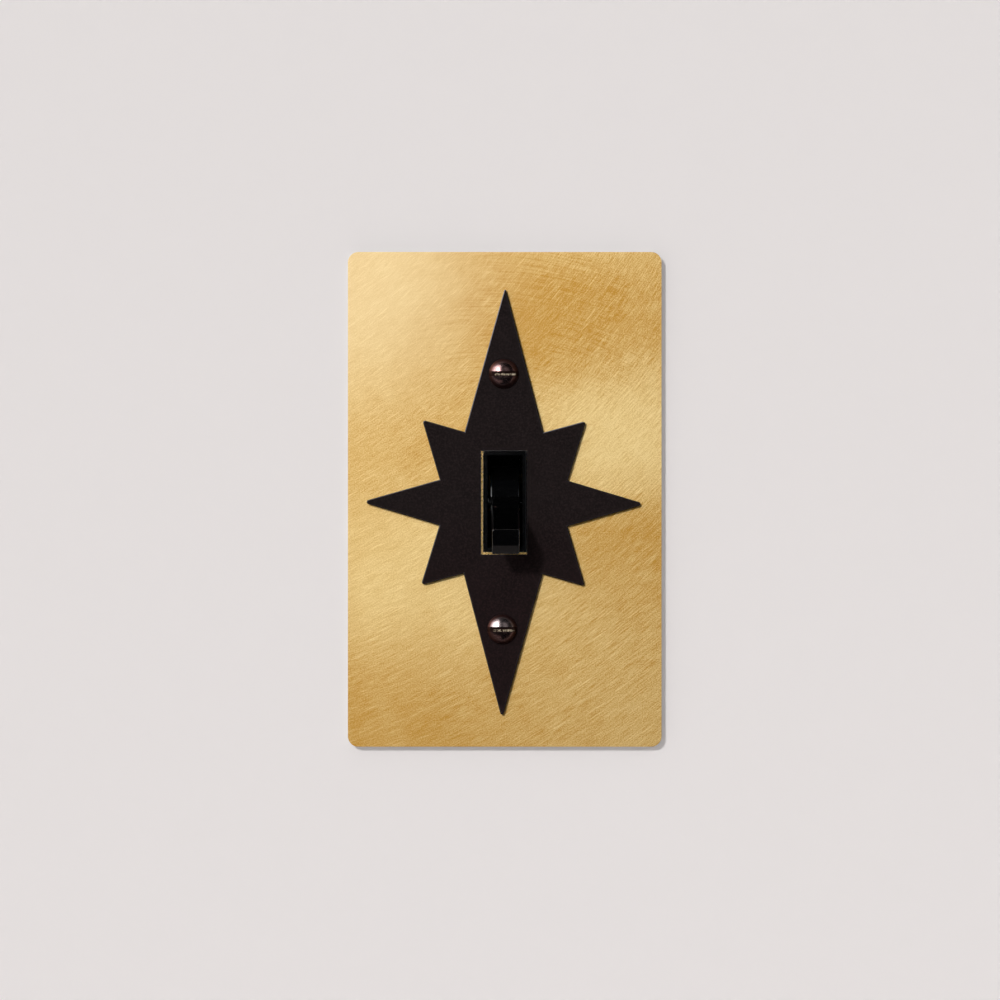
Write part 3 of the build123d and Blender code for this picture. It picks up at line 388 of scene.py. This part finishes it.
def moulded(name, shade, roughness, grain=0.4 * MM, coat=0.0, wear=0.2, peel_depth=0.006 * MM):
    """Moulded plastic: a faint orange peel, softly scuffed, and paler where corners have rubbed."""
    g = Graph(name)
    peel = g.noise(grain, 2.0, 0.5)
    scuff = g.noise(2.2 * MM, 5.0, 0.7, g.stretched(1, 1, 3))
    pale = [min(1.0, channel * 2.2 + 0.004) for channel in shade]
    base = g.mix(g.math("MULTIPLY", g.span(scuff, 0.45, 0.75), 0.25), shade, pale)
    base = g.mix(g.math("MULTIPLY", g.edges(0.2 * MM), wear), base, pale)
    return g.finish(
        base_color=base,
        roughness=g.span(scuff, 0.3, 0.7, roughness * 0.85, roughness * 1.25),
        coat_weight=coat,
        coat_roughness=0.04,
        normal=g.bump(peel, peel_depth, 0.3),
    )


def plated(name, shade, roughness, tarnish, streak=(1, 1, 1), grain=0.8 * MM):
    """Sheet or turned metal: streaks from rolling, a mottled film, and bright rubbed edges."""
    g = Graph(name)
    roll = g.noise(grain, 4.0, 0.65, g.stretched(*streak))
    film = g.noise(5 * MM, 4.0, 0.6, warp=0.5)
    base = g.mix(g.span(film, 0.35, 0.7, 0.0, 0.6), shade, tarnish)
    base = g.mix(g.math("MULTIPLY", g.span(roll, 0.4, 0.7), 0.25), base, tarnish)
    bright = [min(1.0, channel * 1.25) for channel in shade]
    base = g.mix(g.math("MULTIPLY", g.edges(0.2 * MM), 0.5), base, bright)
    return g.finish(
        base_color=base,
        metallic=1.0,
        roughness=g.span(roll, 0.3, 0.7, roughness * 0.8, roughness * 1.3),
        normal=g.bump(roll, 0.01 * MM, 0.4),
    )


def fibre():
    """Retainers: pressed vulcanised fibre, flecked along its sheet."""
    g = Graph("fibre")
    fleck = g.noise(0.5 * MM, 5.0, 0.8, g.stretched(1, 1, 5))
    base = g.mix(g.span(fleck, 0.35, 0.65), (0.16, 0.075, 0.035), (0.42, 0.25, 0.13))
    return g.finish(base_color=base, roughness=0.8, normal=g.bump(fleck, 0.04 * MM, 0.6))


def rubber():
    g = Graph("rubber")
    bloom = g.noise(1.6 * MM, 4.0, 0.6)
    base = g.mix(g.span(bloom, 0.4, 0.7), (0.018, 0.018, 0.019), (0.045, 0.044, 0.043))
    return g.finish(base_color=base, roughness=0.75, normal=g.bump(g.noise(0.15 * MM), 0.02 * MM, 0.5))


BRASS = (0.80, 0.58, 0.24)
BRASS_TARNISH = (0.42, 0.26, 0.10)
STEEL = (0.60, 0.60, 0.61)
STEEL_TARNISH = (0.34, 0.34, 0.36)

BLACK = (0.0010, 0.0010, 0.0011)

black = moulded("gloss_black", BLACK, 0.08, coat=0.2, wear=0.1, peel_depth=0.002 * MM)
grey = moulded("housing_grey", (0.055, 0.055, 0.060), 0.42, grain=0.25 * MM, wear=0.3)
nylon = moulded("nylon", (0.70, 0.68, 0.60), 0.40)
zinc = plated("zinc", (0.66, 0.67, 0.68), 0.32, (0.46, 0.47, 0.50), streak=(1, 1, 0.12))
stamped_brass = plated("stamped_brass", BRASS, 0.30, BRASS_TARNISH, streak=(1, 1, 0.15))
turned_brass = plated("turned_brass", BRASS, 0.24, BRASS_TARNISH, streak=(1, 1, 1), grain=0.5 * MM)
steel = plated("steel", STEEL, 0.26, STEEL_TARNISH, streak=(0.15, 1, 1))
silver = plated("silver", (0.88, 0.87, 0.84), 0.28, (0.55, 0.52, 0.47), grain=0.4 * MM)
green = plated("green_zinc", (0.03, 0.26, 0.07), 0.30, (0.02, 0.12, 0.05), grain=0.5 * MM)

FINISHES = {
    "wall_plate": brushed_brass(),
    "star_overlay": star_black(),
    "plate_screws": oiled_bronze(),
    "mounting_strap": zinc,
    "box_screws": zinc,
    "screw_retainers": fibre(),
    "assembly_rivets": turned_brass,
    "front_housing": black,
    "rear_housing": grey,
    "toggle_lever": black,
    "spring_plunger": nylon,
    "toggle_spring": steel,
    "toggle_bumpers": rubber(),
    "contact_rocker": stamped_brass,
    "moving_contact": silver,
    "rocker_pin": steel,
    "line_terminal": stamped_brass,
    "load_terminal": stamped_brass,
    "fixed_contact": silver,
    "line_terminal_screw": turned_brass,
    "load_terminal_screw": turned_brass,
    "ground_screw": green,
    "push_in_springs": steel,
}


def dress(piece, material):
    piece.data.materials.clear()
    piece.data.materials.append(material)


for name, piece in NODES.items():
    dress(piece, FINISHES[name])


# ---- screw threads --------------------------------------------------------------------------------

PITCH = 25.4 / 32 * MM
CORE_SHARE = 0.73  # a thread's core radius over its crest radius
FOOT_SHARE = 0.42  # half the ridge's width at its foot and at its crest, as shares of the pitch
CREST_SHARE = 0.07
RIDGE_SINK = 0.1 * MM  # how far the ridge's foot lies inside the core
STEPS_PER_TURN = 24
RUN_OUT = 0.6  # turns over which a thread fades at each end
SLACK = 0.01 * MM
SIDE_HEAD_HEIGHT = 2.2 * MM
BOX_SCREW_NECK_END = 1.25 * MM


def thin_shank(mesh, start, axis, length, crest):
    """Draws a plain shank in to the radius of its thread's core."""
    for corner in mesh.verts:
        along = (corner.co - start).dot(axis)
        foot = start + along * axis
        out = (corner.co - foot).length
        on_shank = -SLACK < along < length + SLACK and out < 1.05 * crest
        if on_shank and (along > SLACK or out > 0.9 * crest):
            corner.co = foot.lerp(corner.co, CORE_SHARE)


def wind_ridge(mesh, start, axis, length, crest):
    """Winds a right-handed ridge round a shank, as one closed shell sunk a little into the core."""
    across = axis.orthogonal().normalized()
    aside = axis.cross(across)
    core = CORE_SHARE * crest
    steps = int((length / PITCH - 1) * STEPS_PER_TURN)
    rows = []
    for step in range(steps + 1):
        turn = step / STEPS_PER_TURN
        fade = min(1.0, turn / RUN_OUT, (steps - step) / STEPS_PER_TURN / RUN_OUT)
        out = math.cos(math.tau * turn) * across + math.sin(math.tau * turn) * aside
        middle = start + axis * PITCH * (turn + 0.5)
        top, root = core + fade * (crest - core), core - RIDGE_SINK
        section = ((-FOOT_SHARE, root), (-CREST_SHARE, top), (CREST_SHARE, top), (FOOT_SHARE, root))
        places = [middle + axis * PITCH * shift + out * radius for shift, radius in section]
        rows.append([mesh.verts.new(place) for place in places])
    for row, following in zip(rows, rows[1:]):
        for i in range(4):
            mesh.faces.new((row[i], row[i - 1], following[i - 1], following[i]))
    mesh.faces.new(rows[0])
    mesh.faces.new(reversed(rows[-1]))


def thread_node(node, shanks, crest):
    """Stands a threaded screw in for a CAD node whose shanks are plain. A shank is (start, axis, length)."""
    mesh = bmesh.new()
    mesh.from_mesh(NODES[node].data)
    bmesh.ops.remove_doubles(mesh, verts=mesh.verts, dist=0.001 * MM)
    for shank in shanks:
        thin_shank(mesh, *shank, crest)
        wind_ridge(mesh, *shank, crest)
    data = bpy.data.meshes.new(node + "_threaded")
    mesh.to_mesh(data)
    mesh.free()
    if "custom_normal" in data.attributes:
        data.attributes.remove(data.attributes["custom_normal"])
    data.polygons.foreach_set("use_smooth", [True] * len(data.polygons))
    data.set_sharp_from_angle(angle=math.radians(32))
    piece = bpy.data.objects.new(node + "_threaded", data)
    bpy.context.scene.collection.objects.link(piece)
    dress(piece, FINISHES[node])
    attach(piece, "switch_body")
    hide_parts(node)


def thread_pair(node, start_depth, crest, centres_x=(0.0, 0.0)):
    """Threads the two screws of a node, the upper and the lower, that point into the wall."""
    row = screw_row(node, centres_x)[0]
    inward, length = Vector((0, 1, 0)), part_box(node)[1].y - start_depth
    places = zip(centres_x, (row, -row))
    thread_node(node, [(Vector((x, start_depth, z)), inward, length) for x, z in places], crest)


def thread_side_screw(node, side, crest):
    """Threads a screw whose head faces out to one side, +1 for +X."""
    low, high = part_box(node)
    middle = (low + high) / 2
    outer, tip = (high.x, low.x) if side > 0 else (low.x, high.x)
    start = Vector((outer - side * SIDE_HEAD_HEIGHT, middle.y, middle.z))
    thread_node(node, [(start, Vector((-side, 0, 0)), abs(start.x - tip))], crest)


thread_pair("plate_screws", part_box("star_overlay")[0].y, 1.71 * MM, PLATE_SCREW_X)
thread_pair("box_screws", BOX_SCREW_NECK_END, 1.75 * MM)
thread_side_screw("line_terminal_screw", 1, 1.96 * MM)
thread_side_screw("load_terminal_screw", 1, 1.96 * MM)
thread_side_screw("ground_screw", -1, 1.96 * MM)


# ---- studio ---------------------------------------------------------------------------------------

FRAME_WIDTH = 236.4 * MM  # what the picture spans at the plate's face
CAMERA_DISTANCE = 1.2
CAMERA_SIDESTEP = -17 * MM  # the lens stands a little left of the plate and keeps it centred by a shift
CAMERA_AIM = Vector((-1.13 * MM, PLATE_LOW.y, 0.35 * MM))
WALL_SHADE = (0.800, 0.768, 0.760)
WALL_EVEN_LIGHT = 0.18
FLOOR_LEVEL = -0.35
ROOM_REACH = 3.0  # how far wall and floor run from the middle
KEY_FROM = (-0.40, -1.0, 0.38)
KEY_STRENGTH = 1.5
KEY_SPREAD = math.radians(6)
EVEN_LIGHT = (0.26, 0.26, 0.26)
DIM_ROOM = (0.010, 0.012, 0.015)
PALE_REAR = (0.30, 0.30, 0.31)
BACKDROP = (0.74, 0.72, 0.71)


def aim(thing, target, start):
    thing.location = start
    thing.rotation_euler = (Vector(target) - Vector(start)).to_track_quat("-Z", "Y").to_euler()


def add_camera():
    lens = bpy.data.cameras.new("camera")
    lens.sensor_width = 36.0
    lens.lens = lens.sensor_width * CAMERA_DISTANCE / FRAME_WIDTH
    lens.shift_x = -CAMERA_SIDESTEP / FRAME_WIDTH
    lens.clip_start, lens.clip_end = 0.01, 20.0
    camera = bpy.data.objects.new("camera", lens)
    bpy.context.scene.collection.objects.link(camera)
    target = CAMERA_AIM + Vector((CAMERA_SIDESTEP, 0, 0))
    aim(camera, target, target - Vector((0, CAMERA_DISTANCE, 0)))
    bpy.context.scene.camera = camera


def flat_sheet(name, corners, faces, material):
    mesh = bpy.data.meshes.new(name)
    mesh.from_pydata(corners, [], faces)
    mesh.materials.append(material)
    sheet = bpy.data.objects.new(name, mesh)
    bpy.context.scene.collection.objects.link(sheet)
    return sheet


def wall_paint():
    """Plain pale paint with a share of even light, clear from behind so that the device shows."""
    g = Graph("wall_paint")
    tree = g.tree
    paint = g.node("BsdfDiffuse", {"Color": WALL_SHADE})
    even = g.node("Emission", {"Color": WALL_SHADE, "Strength": WALL_EVEN_LIGHT})
    lit = g.node("AddShader", {0: paint.outputs[0], 1: even.outputs[0]})
    clear = g.node("BsdfTransparent")
    behind = g.node("NewGeometry").outputs["Backfacing"]
    either = g.node("MixShader", {0: behind, 1: lit.outputs[0], 2: clear.outputs[0]})
    tree.links.new(either.outputs[0], tree.nodes["Material Output"].inputs["Surface"])
    return g.material


def add_wall():
    """A wall cut away behind the plate, which hides the opening from the front."""
    wide, floor, back, cover = ROOM_REACH, FLOOR_LEVEL, 0.02 * MM, 1.5 * MM
    half_width, half_height = PLATE_WIDTH / 2 - cover, PLATE_HEIGHT / 2 - cover
    outer = [(-wide, floor), (wide, floor), (wide, wide), (-wide, wide)]
    signs = ((-1, -1), (1, -1), (1, 1), (-1, 1))
    inner = [(side * half_width, PLATE_CENTRE.z + rise * half_height) for side, rise in signs]
    corners = [(x, back, z) for x, z in outer + inner]
    faces = [(i, (i + 1) % 4, (i + 1) % 4 + 4, i + 4) for i in range(4)]
    flat_sheet("wall", corners, faces, wall_paint())


def add_floor():
    wide = ROOM_REACH
    paint = Graph("floor_paint").finish(base_color=WALL_SHADE, roughness=0.9, specular_ior_level=0.1)
    corners = [(-wide, -wide), (wide, -wide), (wide, wide), (-wide, wide)]
    ground = flat_sheet("floor", [(x, y, FLOOR_LEVEL) for x, y in corners], [(0, 1, 2, 3)], paint)
    ground.visible_glossy = False


def add_key():
    lamp = bpy.data.lights.new("key", "SUN")
    lamp.energy = KEY_STRENGTH
    lamp.angle = KEY_SPREAD
    key = bpy.data.objects.new("key", lamp)
    bpy.context.scene.collection.objects.link(key)
    aim(key, (0, 0, 0), KEY_FROM)


def add_panel(name, centre, facing, width, height, radiance, tint=(1.0, 1.0, 1.0), diffuse=False):
    """A soft light centred at one point and facing another. It shows only in reflections unless diffuse."""
    lamp = bpy.data.lights.new(name, "AREA")
    lamp.shape = "RECTANGLE"
    lamp.size = width
    lamp.size_y = height
    lamp.energy = radiance * math.pi * width * height
    lamp.color = tint
    panel = bpy.data.objects.new(name, lamp)
    bpy.context.scene.collection.objects.link(panel)
    aim(panel, facing, centre)
    panel.visible_diffuse = diffuse
    panel.visible_camera = False


def add_panels():
    """A tall window from the lens's left round to the switch's left side, and dim light right and below."""
    far, low, high, left, right = 1.6, 0.16, 2.2, -2.4, -0.22
    middle, width, height = (low + high) / 2, right - left, high - low
    front = Vector(((left + right) / 2, -far, middle))
    add_panel("window_front", front, front + Vector((0, 1, 0)), width, height, 3.15)
    side = Vector((left, -far / 2, middle))
    add_panel("window_side", side, side + Vector((1, 0, 0)), far, height, 2.2)
    slit = Vector((-0.10, -far, -0.27))
    add_panel("window_slit", slit, slit + Vector((0, 1, 0)), 0.08, 0.86, 3.2)
    bounce = Vector((-0.72, -0.55, -1.2))
    add_panel("bounce", bounce, bounce + Vector((0, 0, 1)), 1.75, 0.5, 0.22, (1.0, 0.86, 0.82))
    fill = Vector((1.6, -far, 0.2))
    add_panel("fill", fill, fill + Vector((0, 1, 0)), 1.6, 2.4, 0.35)
    for side, radiance in ((1, 2.0), (-1, 1.2)):
        add_panel("rear", (side * 1.1, 1.2, 0.7), (0, 0, 0), 1.0, 1.4, radiance, diffuse=True)


def add_world():
    """Even light for matte surfaces, a dim room with a pale rear for reflections, and a pale backdrop."""
    world = bpy.data.worlds.new("room")
    world.use_nodes = True
    bpy.context.scene.world = world
    tree = world.node_tree
    path = tree.nodes.new("ShaderNodeLightPath")
    heading = tree.nodes.new("ShaderNodeSeparateXYZ")
    tree.links.new(tree.nodes.new("ShaderNodeTexCoord").outputs["Generated"], heading.inputs[0])
    room = blended(tree, heading.outputs["Y"], DIM_ROOM, PALE_REAR)
    lit = blended(tree, path.outputs["Is Glossy Ray"], EVEN_LIGHT, room)
    seen = blended(tree, path.outputs["Is Camera Ray"], lit, BACKDROP)
    tree.links.new(seen, tree.nodes["Background"].inputs["Color"])


def blended(tree, factor, first, second):
    """The first colour where the factor is 0 or less, and the second where it is more, as a socket."""
    switch = tree.nodes.new("ShaderNodeMath")
    switch.operation = "GREATER_THAN"
    switch.inputs[1].default_value = 0.0
    tree.links.new(factor, switch.inputs[0])
    blend = tree.nodes.new("ShaderNodeMix")
    blend.data_type = "RGBA"
    tree.links.new(switch.outputs[0], blend.inputs[0])
    for socket, value in ((blend.inputs[6], first), (blend.inputs[7], second)):
        if isinstance(value, bpy.types.NodeSocket):
            tree.links.new(value, socket)
        else:
            socket.default_value = colour(value)
    return blend.outputs[2]


add_camera()
add_wall()
add_floor()
add_key()
add_panels()
add_world()
bpy.context.scene.view_settings.view_transform = "Standard"
